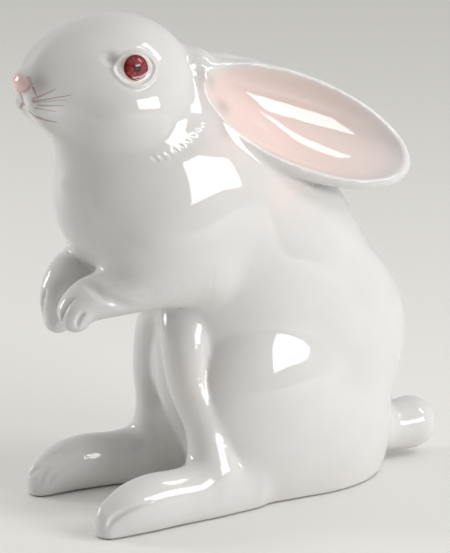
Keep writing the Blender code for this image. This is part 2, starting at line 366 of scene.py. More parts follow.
@dataclass(frozen=True)
class Forelegs:
    """Two forelegs held in front of the chest, the right paw a little lower than the left."""

    left: tuple[Station, ...] = (
        (21, 62, 126, 20),
        (20, 38, 123.5, 17),
        (16.5, 18, 116.8, 12.5),
        (13.3, 6.5, 113.5, 11),
        (12.5, 0, 109, 9.5),
        (12.5, -1, 106.5, 8.5),
    )
    right: tuple[Station, ...] = (
        (-21, 62, 126, 20),
        (-20, 38, 124, 18.5),
        (-16, 18, 122.5, 11.8),
        (-13, 8, 120.5, 10),
        (-12, 2, 111, 9),
        (-12, 2, 99, 7.5),
    )
    finger_width: float = 1.1
    finger_depth: float = 1.7
    fold_width: float = 2.2
    fold_depth: float = 3.0

    FINGER_GAPS = (
        ((19, -1.6, 117.6), (16.7, -5.9, 114.2), (15.7, -8.4, 109.3), (12.8, -7.9, 101.5)),
        ((21.9, 0.3, 111), (20.6, -3.2, 107.2), (18.1, -3.6, 101.2)),
        ((10, -8.5, 113), (9.3, -9.5, 107), (9.5, -8, 100)),
        ((-9.1, -4.2, 117.3), (-10.4, -6.5, 110.2), (-12.8, -6.2, 102.5), (-13.1, -5.3, 97)),
        ((-15, -5, 117), (-17, -5, 109), (-17.5, -3, 100), (-16, -1, 93)),
        ((-4.5, 0, 113), (-4.2, -2, 106), (-7, -4, 97)),
    )
    FOREARM_FOLD = (
        (12.5, 0.7, 122.9),
        (17.6, 3, 123.2),
        (25.4, 8.1, 117.7),
        (29.4, 17.3, 112.9),
        (33, 24, 111),
    )

    def forms(self) -> list[Joined]:
        """The two forelegs."""
        return [(Roll(self.left), 8.0), (Roll(self.right), 8.0)]

    def grooves(self) -> list[Groove]:
        """The gaps between the toes of the forepaws, and the fold over the left forearm."""
        widths = (self.finger_width, self.finger_depth, False)
        return [
            *[Groove(gap, *widths) for gap in self.FINGER_GAPS],
            Groove(self.FOREARM_FOLD, self.fold_width, self.fold_depth, False),
        ]


@dataclass(frozen=True)
class Tail:
    """A short tail that lies on the table."""

    stations: tuple[Station, ...] = ((0, 176, 20, 16), (0, 190, 16.5, 13), (0, 205.5, 16.5, 14.2))

    def forms(self) -> list[Joined]:
        """The tail's roll."""
        return [(Roll(self.stations), 7.0)]


@dataclass(frozen=True)
class Ear:
    """A long ear laid back: a flat ellipsoid and a roll at its root, scooped to a thin rim."""

    root: Point = (16.0, 62.0, 215.0)
    tip: Point = (33.0, 178.0, 166.0)
    facing: Point = (0.90, 0.0, 0.43)
    half_width: float = 27.0
    half_depth: float = 13.0
    rim: float = 2.5
    scoop_depth: float = 17.0
    scoop_rise: float = 11.0
    rim_soft: float = 3.0
    overhang: float = 2.0  # how far the ear goes past its root and tip
    end_rim: float = 1.0  # how much wider the rim is at the ends
    scoop_shift: float = 1.0
    skin: float = 1.6  # how near the scoop's floor the pink lies
    deepest: float = -8.0
    root_join: float = 6.0
    back: tuple[Station, ...] = (
        (6, 54, 221, 10),
        (10, 65.6, 223.5, 9),
        (12, 72.3, 220, 8.3),
        (14, 82.4, 217.5, 6.8),
        (15.5, 96, 217.5, 5),
    )

    def axes(self) -> np.ndarray:
        """Columns along the ear, across it and out of its face."""
        along = np.array(self.tip) - np.array(self.root)
        along = along / np.linalg.norm(along)
        facing = np.array(self.facing) - along * (np.array(self.facing) @ along)
        facing = facing / np.linalg.norm(facing)
        return np.stack((along, np.cross(facing, along), facing), axis=1)

    def centre(self) -> np.ndarray:
        """The middle of the ear."""
        return (np.array(self.root) + np.array(self.tip)) / 2

    def blank(self) -> Ball:
        """The ear before it is scooped, in its own axes."""
        length = np.linalg.norm(np.array(self.tip) - np.array(self.root))
        half_length = length / 2 + self.overhang
        return Ball((0.0, 0.0, 0.0), (half_length, self.half_width, self.half_depth))

    def scoop(self) -> Ball:
        """What is scooped from its face, in its own axes."""
        half_length, half_width, _ = self.blank().radii
        return Ball(
            (self.scoop_shift, 0.0, self.scoop_rise),
            (half_length - self.rim - self.end_rim, half_width - self.rim, self.scoop_depth),
        )

    def distance(self, points: np.ndarray) -> np.ndarray:
        """The distance from each point to the scooped ear."""
        local = (points - self.centre()) @ self.axes()
        root = Roll(self.back).distance(points)
        body = merge(self.blank().distance(local), root, self.root_join)
        return carve(body, self.scoop().distance(local), self.rim_soft)

    def places(self, points: np.ndarray) -> np.ndarray:
        """Where each point of either ear lies along it, across it and out of its face."""
        return (left_side(points) - self.centre()) @ self.axes()

    def inside(self, points: np.ndarray) -> np.ndarray:
        """How far each point lies inside the scoop, from 0 at its rim to 1."""
        local = self.places(points)
        across = (local - self.scoop().centre) / self.scoop().radii
        open_here = 1.0 - across[:, 0] ** 2 - across[:, 1] ** 2
        near_floor = self.scoop().distance(local) < self.skin
        return np.clip(open_here, 0.0, 1.0) * near_floor * (local[:, 2] > self.deepest)

    def shape_rough(self, bm: bmesh.types.BMesh, side: float) -> None:
        """Adds a stretched sphere whose face is sunk to the scoop, and the roll behind it."""
        Roll(self.back).shape_rough(bm, side)
        made = bmesh.ops.create_icosphere(bm, subdivisions=5, radius=1.0)["verts"]
        blank, scoop, axes = np.array(self.blank().radii), self.scoop(), self.axes()
        for vertex in made:
            local = np.array(vertex.co) * blank
            across = ((local - scoop.centre) / scoop.radii)[:2]
            open_here = 1.0 - across @ across
            if local[2] > 0.0 and open_here > 0.0:
                floor = self.scoop_rise - self.scoop_depth * math.sqrt(open_here)
                local[2] = min(local[2], floor)
            vertex.co = Vector((self.centre() + axes @ local) * (side, 1.0, 1.0))
        if side < 0:
            faces = {face for vertex in made for face in vertex.link_faces}
            bmesh.ops.reverse_faces(bm, faces=list(faces))


@dataclass(frozen=True)
class Eye:
    """An eye that stands out from the cheek, with its lids."""

    centre: Point = (28.6, 25.2, 227.8)
    slope: float = -0.33
    ball: Ball = Ball((20.6, 25.2, 227.8), (9.4, 9.8, 8.2))
    pinch: float = 0.25  # how much lower the lids are at the corners
    wrap: float = 0.012  # how fast the cheek falls away from the eye
    hollow_width: float = 3.0
    hollow_depth: float = 1.6

    RING_STEPS = 12
    RINGS = (  # half length, half height, first and last degree, width, depth
        (9.6, 6.7, 0, 360, 0.8, 0.7),
        (11.2, 8.2, 0, 360, 1.2, -0.55),
        (12.8, 10.4, -160, -20, 0.9, 0.5),
        (12.4, 10.4, 20, 160, 0.9, 0.6),
    )
    HOLLOW = ((23.5, 13.5, 236.5), (25.7, 13.0, 233.0), (26.7, 11.0, 229.0))

    def ring(
        self,
        half_length: float,
        half_height: float,
        start: float,
        end: float,
        width: float,
        depth: float,
    ) -> Groove:
        """Draws part of an eyelid round the eye.

        Args:
            half_length: Half the ring's length, from corner to corner.
            half_height: Half its height.
            start: Angle where it starts, in degrees.
            end: Angle where it ends, in degrees.
            width: Width of the groove.
            depth: Depth of the groove.

        Returns:
            The ring as a groove, or as a ridge if depth is below zero.
        """
        stations = []
        x, y, z = self.centre
        for index in range(self.RING_STEPS + 1):
            angle = math.radians(start + (end - start) * index / self.RING_STEPS)
            along = half_length * math.cos(angle)
            up = half_height * math.sin(angle) * (1.0 - self.pinch * math.cos(angle) ** 2)
            across = self.slope * up - self.wrap * along**2
            stations.append((x + across, y + along, z + up))
        return Groove(tuple(stations), width, depth, fades=end - start < 360)

    def grooves(self) -> list[Groove]:
        """The eyelids, the folds around them and the hollow in front of the eye."""
        rings = [self.ring(*sizes) for sizes in self.RINGS]
        return [*rings, Groove(self.HOLLOW, self.hollow_width, self.hollow_depth)]


@dataclass(frozen=True)
class Head:
    """Skull, muzzle and cheeks, with the ruff of fur along each cheek's edge."""

    skull: Ball = Ball((0, 26.8, 217), (29.5, 41.5, 33.5))
    bridge: Ball = Ball((5, 9.5, 217.5), (14.5, 31, 25.5))
    cheek: Ball = Ball((15, 29, 205), (18.5, 27, 18.5))
    whisker_pad: Ball = Ball((7.5, -9, 211.5), (8.7, 12.5, 8.7))
    chin: Ball = Ball((0, -4.5, 205.5), (8.5, 10, 6.5))
    nose: Ball = Ball((0, -16.0, 221.0), (8.6, 8.6, 6.4))
    tufts: int = 9
    tuft_width: float = 0.9
    tuft_depth: float = 0.5
    edge_width: float = 3.0
    edge_depth: float = 0.4

    # Where the tufts lie, as a start and a growth over the whole row.
    ROW_Y = (32.0, 28.0)
    ROW_Z = (184.0, 13.5)
    ROW_X = (34.9, -0.012)  # at the row's widest place, and how it curves in from there
    WIDEST_Y = 44.0
    ROW_BEND = 1.5
    SLANT = (1.6, -1.4)
    TUFT_FRONT, TUFT_BACK, TUFT_FLARE = 2.0, 2.6, 0.4
    RUFF_EDGE = (
        (33.5, 33.8, 183.3),
        (35.0, 43.9, 185.9),
        (34.7, 50.8, 189.1),
        (33.6, 56.9, 192.7),
        (31.5, 61.5, 197.3),
    )
    PHILTRUM = ((0, -22.5, 216.5), (0, -22.2, 213), (0, -21.5, 209.5))
    MOUTH = (
        (0, -21.5, 209.5),
        (5.6, -20.5, 207.2),
        (9, -17.9, 205.1),
        (11.4, -14.4, 203.7),
        (13.9, -9.9, 202.7),
    )
    NOSTRIL = ((7.8, -20.7, 220), (10, -19.7, 218.8), (11.1, -19.3, 217), (12.3, -18.8, 215.2))
    LINES = ((PHILTRUM, 0.9, 1.0), (MOUTH, 0.8, 0.8), (NOSTRIL, 0.9, 0.9))  # width and depth

    def forms(self) -> list[Joined]:
        """The lumps of the head."""
        return [
            (self.skull, 1.0),
            (Pair(self.bridge, 8.0), 12.0),
            (Pair(self.cheek, 12.0), 12.0),
            (Pair(self.whisker_pad, 1.5), 4.0),
            (self.chin, 3.0),
            (self.nose, 5.0),
        ]

    def ruff(self) -> list[Groove]:
        """Tufts of cheek fur that overlap the shoulder, each a short groove."""
        grooves = []
        for index in range(self.tufts):
            t = index / (self.tufts - 1)
            y = self.ROW_Y[0] + self.ROW_Y[1] * t
            z = self.ROW_Z[0] + self.ROW_Z[1] * t**self.ROW_BEND
            x = self.ROW_X[0] + self.ROW_X[1] * (y - self.WIDEST_Y) ** 2
            slant = self.SLANT[0] + self.SLANT[1] * t
            front = (x, y - self.TUFT_FRONT, z + slant)
            back = (x + self.TUFT_FLARE, y + self.TUFT_BACK, z - slant)
            grooves.append(Groove((front, back), self.tuft_width, self.tuft_depth))
        return [*grooves, Groove(self.RUFF_EDGE, self.edge_width, self.edge_depth)]

    def grooves(self) -> list[Groove]:
        """The split of the lip, the mouth, the nostrils and the ruff."""
        return [*[Groove(*line) for line in self.LINES], *self.ruff()]


class Figure:
    """The whole rabbit as one surface."""

    PROBE = 0.3
    FOOT_RING = 2.4  # softness of the edge where the glaze stops at the table
    HEAD_JOIN = 10.0
    EAR_SEAM, EAR_JOIN = 3.0, 6.0
    EYE_SEAM, EYE_JOIN = 1.0, 1.5
    LEAST_STEEP = 0.2
    LONGEST_STEP = 3.0

    def __init__(self) -> None:
        self.trunk, self.hind, self.fore, self.tail = Trunk(), HindLegs(), Forelegs(), Tail()
        self.head, self.eye, self.ear = Head(), Eye(), Ear()
        self.body_forms = self.trunk.forms() + self.hind.forms() + self.tail.forms()
        self.added_forms = [
            (Pair(self.ear, self.EAR_SEAM), self.EAR_JOIN),
            *self.fore.forms(),
            (Pair(self.eye.ball, self.EYE_SEAM), self.EYE_JOIN),
        ]
        self.all_grooves = (
            self.eye.grooves() + self.head.grooves() + self.hind.grooves() + self.fore.grooves()
        )
        self.stands = False

    @staticmethod
    def blend(forms: Iterable[Joined], points: np.ndarray) -> np.ndarray:
        """The distance from each point to forms joined in order."""
        surface = None
        for form, soft in forms:
            here = form.distance(points)
            surface = here if surface is None else merge(surface, here, soft)
        return surface

    def distance(self, points: np.ndarray) -> np.ndarray:
        """The distance from each point to the rabbit's surface."""
        head = self.blend(self.head.forms(), points)
        surface = merge(self.blend(self.body_forms, points), head, self.HEAD_JOIN)
        for form, soft in self.added_forms:
            surface = merge(surface, form.distance(points), soft)
        for groove in self.all_grooves:
            surface = surface + groove.press(points)
        if self.stands:
            surface = -merge(-surface, points[:, 2], self.FOOT_RING)
        return surface

    def slope(self, points: np.ndarray) -> tuple[np.ndarray, np.ndarray]:
        """The distance at each point and its slope, from four probes around it."""
        corners = np.array(((1, -1, -1), (-1, -1, 1), (-1, 1, -1), (1, 1, 1))) * self.PROBE
        readings = [self.distance(points + corner) for corner in corners]
        gradient = sum(np.outer(reading, corner) for reading, corner in zip(readings, corners))
        return sum(readings) / 4, gradient / (4 * self.PROBE**2)

    def settle(self, points: np.ndarray, rounds: int) -> np.ndarray:
        """Moves points down the slope until they lie on the surface.

        Args:
            points: The points to move.
            rounds: How many times to move them, by the longest step each time at most.

        Returns:
            The points where they settled.
        """
        for _ in range(rounds):
            height, gradient = self.slope(points)
            steep = np.maximum((gradient**2).sum(axis=1), self.LEAST_STEEP)
            step = gradient * (height / steep)[:, None]
            length = np.maximum(np.linalg.norm(step, axis=1), 1e-9)
            points = points - step * np.minimum(1.0, self.LONGEST_STEP / length)[:, None]
        return points


@dataclass(frozen=True)
class FinePlace:
    """A ball of space where the mesh is made finer, on both sides of the rabbit."""

    centre: Point
    radius: float
    halvings: int


class Modeller:
    """Turns the figure into one closed mesh."""

    COARSE_GRAIN = 2.6
    FINE_GRAIN = 1.8
    QUICK_GRAIN = 2.6
    FIRST_ROUNDS, ROUNDS = 8, 2
    LEVEL_INSET = 1.5  # how much smaller a fine place is at each halving
    FINE_PLACES = (
        FinePlace((30, 25, 228), 16, 2),
        FinePlace((6, -14, 212), 19, 2),
        FinePlace((35, 36, 187), 11, 2),
        FinePlace((35, 52, 192), 12, 2),
        FinePlace((13, -4, 107), 17, 1),
        FinePlace((37, 8, 14), 25, 1),
    )

    def __init__(self, figure: Figure) -> None:
        self.figure = figure

    @staticmethod
    def points_of(mesh: bpy.types.Mesh) -> np.ndarray:
        """A mesh's points, one a row."""
        flat = np.empty(len(mesh.vertices) * 3)
        mesh.vertices.foreach_get("co", flat)
        return flat.reshape(-1, 3)

    def settle_mesh(self, mesh: bpy.types.Mesh, rounds: int) -> None:
        """Settles a mesh's points on the figure."""
        points = self.figure.settle(self.points_of(mesh), rounds)
        mesh.vertices.foreach_set("co", points.astype(np.float32).ravel())
        mesh.update()

    @staticmethod
    def remeshed(mesh: bpy.types.Mesh, grain: float) -> bpy.types.Mesh:
        """The same skin in even squares, grain wide."""
        helper = bpy.data.objects.new("helper", mesh)
        bpy.context.scene.collection.objects.link(helper)
        modifier = helper.modifiers.new("Remesh", "REMESH")
        modifier.mode = "VOXEL"
        modifier.voxel_size = grain
        graph = bpy.context.evaluated_depsgraph_get()
        result = bpy.data.meshes.new_from_object(helper.evaluated_get(graph))
        bpy.data.objects.remove(helper)
        return result

    def rough(self) -> bpy.types.Mesh:
        """Every lump as overlapping balls in one mesh."""
        bm = bmesh.new()
        for form, _ in self.figure.body_forms + self.figure.head.forms() + self.figure.added_forms:
            form.shape_rough(bm, 1.0)
        mesh = bpy.data.meshes.new("rough")
        bm.to_mesh(mesh)
        bm.free()
        return mesh

    @staticmethod
    def cut_flat(mesh: bpy.types.Mesh) -> None:
        """Cuts a mesh at the table and closes it there."""
        bm = bmesh.new()
        bm.from_mesh(mesh)
        parts = bm.verts[:] + bm.edges[:] + bm.faces[:]
        bmesh.ops.bisect_plane(
            bm, geom=parts, dist=1e-4, plane_co=(0, 0, 0), plane_no=(0, 0, -1), clear_outer=True
        )
        bmesh.ops.holes_fill(bm, edges=[edge for edge in bm.edges if edge.is_boundary])
        bmesh.ops.recalc_face_normals(bm, faces=bm.faces[:])
        bm.to_mesh(mesh)
        bm.free()

    def refine(self, mesh: bpy.types.Mesh) -> None:
        """Halves the mesh's edges in the places that hold fine detail."""
        for level in range(max(place.halvings for place in self.FINE_PLACES)):
            bm = bmesh.new()
            bm.from_mesh(mesh)
            middles = np.array([(edge.verts[0].co + edge.verts[1].co) / 2 for edge in bm.edges])
            middles = left_side(middles)
            chosen = np.zeros(len(middles), dtype=bool)
            for place in self.FINE_PLACES:
                if place.halvings > level:
                    away = np.linalg.norm(middles - place.centre, axis=1)
                    chosen |= away < place.radius - self.LEVEL_INSET * level
            edges = [edge for edge, is_in in zip(bm.edges, chosen) if is_in]
            bmesh.ops.subdivide_edges(bm, edges=edges, cuts=1, use_grid_fill=True)
            bm.to_mesh(mesh)
            bm.free()

    def build(self) -> bpy.types.Mesh:
        """Builds the skin.

        Returns:
            A closed mesh in metres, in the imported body's frame, shaded by the surface's true slope.
        """
        mesh = self.remeshed(self.rough(), self.COARSE_GRAIN)
        self.settle_mesh(mesh, self.FIRST_ROUNDS)
        self.cut_flat(mesh)
        mesh = self.remeshed(mesh, self.FINE_GRAIN)
        self.figure.stands = True
        self.settle_mesh(mesh, self.ROUNDS)
        self.refine(mesh)
        self.settle_mesh(mesh, self.ROUNDS)
        points = self.points_of(mesh)
        _, gradient = self.figure.slope(points)
        normals = gradient / np.linalg.norm(gradient, axis=1)[:, None]
        Painter(self.figure).paint(mesh, points)
        placed = (points - (0.0, MIDDLE_Y, 0.0)) * MM
        placed[:, 2] -= placed[:, 2].min()
        mesh.vertices.foreach_set("co", placed.astype(np.float32).ravel())
        mesh.shade_smooth()
        mesh.normals_split_custom_set_from_vertices(normals.tolist())
        mesh.update()
        return mesh


class Painter:
    """Lays down the soft washes as a value at each point: underglaze colour, and painted shade in the
    hollows.
    """

    WASHES = "washes"
    BLUSHES = (  # centre, radius and strength of each airbrushed blush
        ((34, 74, 190), 22.0, 0.5),
        ((36, 104, 160), 20.0, 0.35),
        ((20, 70, 212), 10.0, 0.5),
        ((30, 60, 70), 14.0, 0.15),
    )
    PAINTED_SHADES = (  # the same for each patch of painted shade in a hollow: by the nose, before the eye, at the ear's root and under the ear
        ((11.5, -17.5, 221.5), 6.5, 0.6),
        ((24.2, 14.6, 232.2), 4.5, 0.85),
        ((20.6, 71.0, 216.0), 6.0, 0.45),
        ((24.8, 74.8, 204.0), 6.0, 0.45),
        ((32.0, 72.0, 193.5), 6.0, 0.3),
    )
    CLOUD_EDGE = 2.0  # how fast a patch fades
    EAR_EDGE = 0.35
    PALER, PALER_FROM, PALER_TO = 0.6, -10.0, 60.0  # the ear's pink fades along it
    EAR_GREY, GREY_FROM, GREY_TO = 0.3, -4.0, 20.0  # and takes a painted shade toward its upper rim, as under the rim's overhang

    def __init__(self, figure: Figure) -> None:
        self.figure = figure

    @staticmethod
    def cloud(points: np.ndarray, centre: Point, radius: float) -> np.ndarray:
        """A soft round patch on both sides of the rabbit."""
        away = np.linalg.norm(left_side(points) - centre, axis=1)
        return np.exp(-((away / radius) ** 2) * Painter.CLOUD_EDGE)

    def paint(self, mesh: bpy.types.Mesh, points: np.ndarray) -> None:
        """Stores ear pink, blush and painted shade as the three channels of one attribute.

        Args:
            mesh: The mesh to paint.
            points: Its points, in millimetres.
        """
        ear = smooth_step(self.figure.ear.inside(points), 0.0, self.EAR_EDGE)
        along, up, _ = self.figure.ear.places(points).T
        pink = ear * (1.0 - self.PALER * smooth_step(along, self.PALER_FROM, self.PALER_TO))
        blush = sum(power * self.cloud(points, at, size) for at, size, power in self.BLUSHES)
        # painted shade: grey patches in the hollows by the nose, eye and ear
        painted_shade = sum(power * self.cloud(points, at, size) for at, size, power in self.PAINTED_SHADES)
        # painted shade inside the ear, deeper toward its upper rim
        painted_shade = painted_shade + self.EAR_GREY * ear * smooth_step(up, self.GREY_FROM, self.GREY_TO)
        soft = (np.clip(wash, 0, 1) for wash in (blush, painted_shade))
        washes = np.column_stack((pink, *soft, np.ones(len(pink))))
        layer = mesh.color_attributes.new(self.WASHES, "FLOAT_COLOR", "POINT")
        layer.data.foreach_set("color", washes.astype(np.float32).ravel())


def linear(code: str) -> tuple[float, float, float, float]:
    """Turns an sRGB hex colour to a linear one."""
    parts = [int(code[at : at + 2], 16) / 255 for at in (1, 3, 5)]
    return (*[c / 12.92 if c <= 0.04045 else ((c + 0.055) / 1.055) ** 2.4 for c in parts], 1.0)


def add(
    tree: bpy.types.NodeTree, kind: str, inputs: dict | None = None, **settings
) -> bpy.types.Node:
    """Adds a node with its settings and links.

    Args:
        tree: The tree it goes in.
        kind: Its Blender type.
        inputs: A value or an output socket for each of its inputs, by name or number.
        **settings: Its own settings.

    Returns:
        The node.
    """
    node = tree.nodes.new(kind)
    for name, value in settings.items():
        setattr(node, name, value)
    for socket, value in (inputs or {}).items():
        if isinstance(value, bpy.types.NodeSocket):
            tree.links.new(value, node.inputs[socket])
        else:
            node.inputs[socket].default_value = value
    return node


Layer = tuple[bpy.types.NodeSocket, tuple | bpy.types.NodeSocket]  # a mask and a colour


@dataclass(frozen=True)
class BrushStroke:
    """A tapered stroke of a fine brush."""

    start: Point
    end: Point
    half_width: float
    strength: float
    view: Point = (0.12, 1.0, 1.0)  # how far a miss counts along each axis


@dataclass(frozen=True)
class GlazedPorcelain:
    """Slip-cast porcelain with underglaze paint, dipped in a clear glaze and fired glossy.

    The body is a cool white, the glaze mirrors the lamps sharply, and the colours lie below it.
    """

    slot: str = "glazed_porcelain"
    white: str = "#DFDDDC"
    white_thick: str = "#D6D4D2"
    ear_pink: str = "#EAD2CC"
    blush_pink: str = "#F2DCD6"
    # the grey of the painted shade in the hollows and inside the ear
    painted_shade: str = "#A9A3A2"
    nose_pink: str = "#E4C3C0"
    line_brown: str = "#A8807C"
    pupil_brown: str = "#3A120F"
    iris_red: str = "#6E1C22"
    iris_light: str = "#A83A40"
    iris_rim: str = "#45101A"
    lid_pink: str = "#D9A9A2"
    # a dark line painted along the lowest part of the base
    base_line_dark: str = "#8F8678"
    roughness: float = 0.05
    ior: float = 1.5
    nose_centre: Point = (0.0, -22.8, 220.4)
    nose_radii: Point = (9.4, 6.0, 5.6)
    iris_half_length: float = 6.45
    iris_half_height: float = 5.95
    iris_spread: float = 7.0  # how many streaks go round the iris
    iris_grain: float = 1.3
    lid_strength: float = 0.6
    eye_side: float = 24.0  # the eye's paint lies farther out than this
    base_line_height: float = 0.9
    base_line_full: float = 0.6  # the share of that height below which the line has its full colour
    pooling: float = 30.0
    ripple: float = 9.0
    ripple_depth: float = 0.1
    ripple_strength: float = 0.6
    tip_share: float = 0.45  # a stroke's width at its end, as a share of that at its start
    core_share: float = 0.3  # the share of a stroke's width that has its full colour

    # Where each soft mask starts and where it is full, in radii of the nose's patch or the iris.
    NOSE = (1.1, 0.7)
    RIM = (0.72, 1.0)
    PUPIL = (0.40, 0.28)
    LID = (1.30, 1.0)
    IRIS = (1.03, 0.97)
    STREAKS = (0.40, 0.62)  # in the noise's own values

    MOUTH = (
        BrushStroke((0.0, -22.0, 217.0), (0.4, -21.0, 210.5), 1.5, 0.85, (1.0, 0.15, 1.0)),
        BrushStroke((0.4, -21.0, 210.5), (4.4, -20.1, 207.4), 1.0, 0.85, (0.6, 0.3, 1.0)),
        BrushStroke((4.4, -20.1, 207.4), (8.3, -17.6, 204.9), 0.75, 0.85, (0.4, 0.6, 1.0)),
        BrushStroke((8.3, -17.6, 204.9), (10.8, -14.1, 203.4), 0.75, 0.8, (0.4, 0.6, 1.0)),
        BrushStroke((10.8, -14.1, 203.4), (13.1, -10.0, 202.6), 0.65, 0.7),
        BrushStroke((8.6, -19.9, 219.4), (11.0, -19.1, 215.4), 0.7, 0.8),
        BrushStroke((7.5, -21.0, 223.8), (8.6, -20.6, 220.5), 1.2, 0.45),
        BrushStroke((8.6, -20.6, 220.5), (4.8, -22.5, 216.8), 1.2, 0.5),
        BrushStroke((4.8, -22.5, 216.8), (0.0, -22.8, 216.2), 1.0, 0.5, (1.0, 0.15, 1.0)),
    )
    WHISKERS = (
        BrushStroke((10.5, -20.6, 214.2), (16.8, -11.6, 219.1), 0.65, 0.65),
        BrushStroke((10.6, -20.7, 213.2), (20.4, -5.6, 216.2), 0.65, 0.7),
        BrushStroke((10.8, -20.6, 212.6), (19.0, -7.5, 214.0), 0.55, 0.5),
        BrushStroke((12.8, -19.2, 211.3), (18.4, -8.3, 211.1), 0.6, 0.6),
        BrushStroke((11.8, -19.8, 210.0), (16.2, -11.5, 208.2), 0.6, 0.55),
    )

    def stroke_group(self) -> bpy.types.NodeTree:
        """Makes the group that masks one brush stroke.

        Returns:
            A node group from a place and a stroke's ends, half width and view to a mask.
        """
        tree = bpy.data.node_groups.new("brush stroke", "ShaderNodeTree")
        for name in ("Place", "Start", "End", "View"):
            tree.interface.new_socket(name, in_out="INPUT", socket_type="NodeSocketVector")
        tree.interface.new_socket("Half width", in_out="INPUT", socket_type="NodeSocketFloat")
        tree.interface.new_socket("Mask", in_out="OUTPUT", socket_type="NodeSocketFloat")
        given = add(tree, "NodeGroupInput").outputs
        out = add(tree, "NodeGroupOutput")
        maths, vectors = "ShaderNodeMath", "ShaderNodeVectorMath"
        legs = []
        for end in (given["Place"], given["End"]):
            leg = add(tree, vectors, {0: end, 1: given["Start"]}, operation="SUBTRACT").outputs[0]
            seen = add(tree, vectors, {0: leg, 1: given["View"]}, operation="MULTIPLY")
            legs.append(seen.outputs[0])
        from_start, along = legs
        shared, whole = (
            add(tree, vectors, {0: leg, 1: along}, operation="DOT_PRODUCT").outputs["Value"]
            for leg in legs
        )
        shares = {0: shared, 1: whole}
        part = add(tree, maths, shares, operation="DIVIDE", use_clamp=True).outputs[0]
        reached = add(tree, vectors, {0: along, "Scale": part}, operation="SCALE").outputs[0]
        gap = add(tree, vectors, {0: from_start, 1: reached}, operation="DISTANCE").outputs["Value"]
        taper = add(tree, "ShaderNodeMapRange", {0: part, 3: 1.0, 4: self.tip_share}).outputs[0]
        edge = add(tree, maths, {0: given["Half width"], 1: taper}, operation="MULTIPLY").outputs[0]
        core = add(tree, maths, {0: edge, 1: self.core_share}, operation="MULTIPLY").outputs[0]
        reach = {0: gap, 1: edge, 2: core}
        mask = add(tree, "ShaderNodeMapRange", reach, interpolation_type="SMOOTHSTEP")
        tree.links.new(mask.outputs[0], out.inputs["Mask"])
        return tree

    def strokes(
        self,
        tree: bpy.types.NodeTree,
        group: bpy.types.NodeTree,
        place: bpy.types.NodeSocket,
        marks: Sequence[BrushStroke],
    ) -> bpy.types.NodeSocket:
        """Lays several strokes over each other.

        Args:
            tree: The material's tree.
            group: The group that masks one stroke.
            place: Each shaded point's place in millimetres, as if on the rabbit's left side.
            marks: The strokes.

        Returns:
            Their joint mask.
        """
        maths, mask = "ShaderNodeMath", 0.0
        for mark in marks:
            ends = {"Place": place, "Start": mark.start, "End": mark.end}
            brush = {"Half width": mark.half_width, "View": mark.view}
            drawn = add(tree, "ShaderNodeGroup", ends | brush, node_tree=group).outputs[0]
            one = add(tree, maths, {0: drawn, 1: mark.strength}, operation="MULTIPLY").outputs[0]
            mask = add(tree, maths, {0: mask, 1: one}, operation="MAXIMUM").outputs[0]
        return mask

    def eye_layers(
        self, tree: bpy.types.NodeTree, eye: Eye, folded: bpy.types.NodeSocket
    ) -> list[Layer]:
        """Paints the lid's pink edge, and a streaked iris with a dark rim and a pupil.

        Args:
            tree: The material's tree.
            eye: The eye that is painted.
            folded: Each shaded point's place in millimetres, as if on the rabbit's left side.

        Returns:
            The layers of the lid and of the iris.
        """
        maths, vectors = "ShaderNodeMath", "ShaderNodeVectorMath"
        from_eye = add(tree, vectors, {0: folded, 1: eye.ball.centre}, operation="SUBTRACT")
        sizes = (0.0, 1 / self.iris_half_length, 1 / self.iris_half_height)
        scaled = add(tree, vectors, {0: from_eye.outputs[0], 1: sizes}, operation="MULTIPLY")
        flat = scaled.outputs[0]
        radius = add(tree, vectors, {0: flat}, operation="LENGTH").outputs["Value"]
        spoke = add(tree, vectors, {0: flat}, operation="NORMALIZE").outputs[0]
        ringed = add(tree, "ShaderNodeCombineXYZ", {0: radius}).outputs[0]
        spread = {0: spoke, 1: (self.iris_spread,) * 3, 2: ringed}
        polar = add(tree, vectors, spread, operation="MULTIPLY_ADD").outputs[0]
        grain = {"Vector": polar, "Scale": self.iris_grain, "Detail": 3.0}
        streaks = add(tree, "ShaderNodeTexNoise", grain).outputs[0]
        light, full = self.STREAKS
        streaks = add(tree, "ShaderNodeMapRange", {0: streaks, 1: light, 2: full}).outputs[0]
        masks = []
        for start, full in (self.RIM, self.PUPIL, self.LID, self.IRIS):
            edge = {0: radius, 1: start, 2: full}
            node = add(tree, "ShaderNodeMapRange", edge, interpolation_type="SMOOTHSTEP")
            masks.append(node.outputs[0])
        rim, pupil, lid, iris = masks
        red = linear(self.iris_red)
        for mask, paint in (
            (streaks, self.iris_light),
            (rim, self.iris_rim),
            (pupil, self.pupil_brown),
        ):
            paints = {0: mask, 6: red, 7: linear(paint)}
            red = add(tree, "ShaderNodeMix", paints, data_type="RGBA").outputs[2]
        side = add(tree, "ShaderNodeSeparateXYZ", {0: folded}).outputs["X"]
        out = add(tree, maths, {0: side, 1: self.eye_side}, operation="GREATER_THAN").outputs[0]
        lid, iris = (
            add(tree, maths, {0: mask, 1: out}, operation="MULTIPLY").outputs[0]
            for mask in (lid, iris)
        )
        lid = add(tree, maths, {0: lid, 1: self.lid_strength}, operation="MULTIPLY").outputs[0]
        return [(lid, linear(self.lid_pink)), (iris, red)]

    def material(self, eye: Eye) -> bpy.types.Material:
        """Builds the glazed and painted porcelain.

        Args:
            eye: The eye that is painted.

        Returns:
            The material.
        """
        material = bpy.data.materials.new("glazed porcelain")
        material.use_nodes = True
        tree = material.node_tree
        maths, vectors = "ShaderNodeMath", "ShaderNodeVectorMath"

